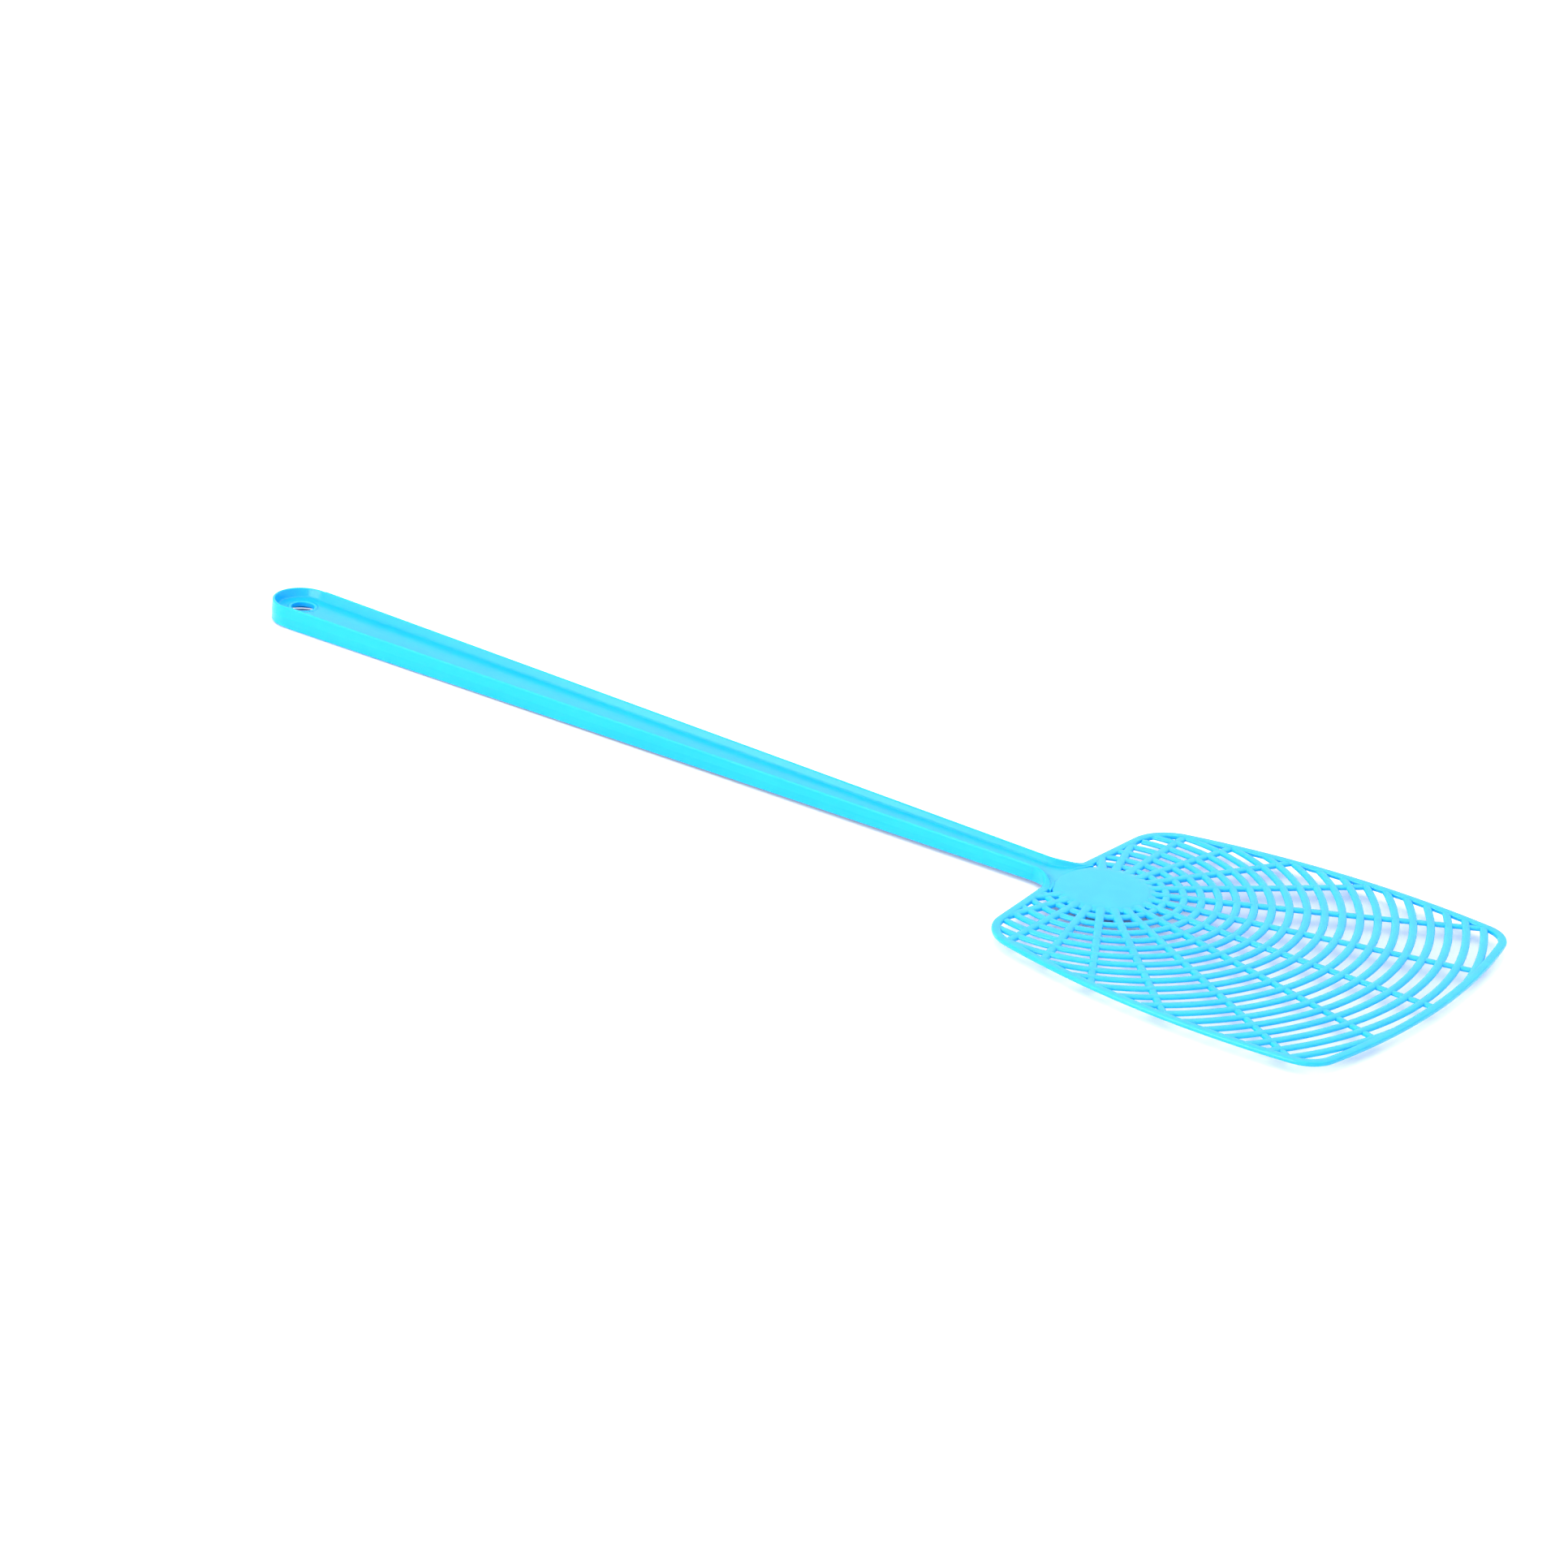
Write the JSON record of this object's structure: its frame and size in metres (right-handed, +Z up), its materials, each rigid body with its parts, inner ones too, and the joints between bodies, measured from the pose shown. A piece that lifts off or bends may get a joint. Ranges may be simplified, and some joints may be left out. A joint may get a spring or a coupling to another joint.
{
  "type": "fly swatter",
  "caption": "One-piece moulded fly swatter: long tapering channel handle with a hanging hole, flexible neck and a flat blade of concentric rings crossed by fanned ribs.",
  "frame": {"origin": "under the middle of the whole swatter, at the height of its lowest edge, the lower edge of the end wall", "axes": "+X from the hanging end to the tip of the blade, +Y to the left, +Z up, square to the flat of the blade"},
  "size_m": [0.469, 0.1344, 0.0081],
  "materials": {
    "polypropylene": "gloss"
  },
  "bodies": {
    "handle": {"end_wall": "polypropylene", "handle_wall_left": "polypropylene", "handle_wall_right": "polypropylene", "handle_floor": "polypropylene", "hanging_eye": "polypropylene", "flex_neck": "polypropylene"},
    "blade": {"neck_flare_left": "polypropylene", "neck_flare_right": "polypropylene", "neck_floor": "polypropylene", "hub_plate": "polypropylene", "rim_back_left": "polypropylene", "rim_back_right": "polypropylene", "rim_shoulder_left": "polypropylene", "rim_shoulder_right": "polypropylene", "rim_side_left": "polypropylene", "rim_side_right": "polypropylene", "rim_corner_left": "polypropylene", "rim_corner_right": "polypropylene", "rim_tip": "polypropylene", "rib_middle": "polypropylene", "rib_left_1": "polypropylene", "rib_left_2": "polypropylene", "rib_left_3": "polypropylene", "rib_left_4": "polypropylene", "rib_left_5": "polypropylene", "rib_left_6": "polypropylene", "rib_left_7": "polypropylene", "rib_left_8": "polypropylene", "rib_right_1": "polypropylene", "rib_right_2": "polypropylene", "rib_right_3": "polypropylene", "rib_right_4": "polypropylene", "rib_right_5": "polypropylene", "rib_right_6": "polypropylene", "rib_right_7": "polypropylene", "rib_right_8": "polypropylene", "ring_01": "polypropylene", "ring_02": "polypropylene", "ring_03": "polypropylene", "ring_04": "polypropylene", "ring_05": "polypropylene", "ring_06": "polypropylene", "ring_07": "polypropylene", "ring_08": "polypropylene", "ring_09": "polypropylene", "ring_10": "polypropylene", "ring_11": "polypropylene", "ring_12": "polypropylene", "ring_13": "polypropylene", "ring_14": "polypropylene", "ring_15": "polypropylene", "ring_16": "polypropylene", "ring_17": "polypropylene", "ring_18": "polypropylene", "ring_19": "polypropylene"}
  },
  "joints": [
    {"name": "blade_flex", "type": "hinge", "parent": "handle", "child": "blade", "pos_m": [0.0776, 0, 0.00405], "axis": [0, 1, 0], "range_deg": [-12, 12], "stiffness_Nm_per_rad": 3.5, "deforming": ["flex_neck"]}
  ]
}
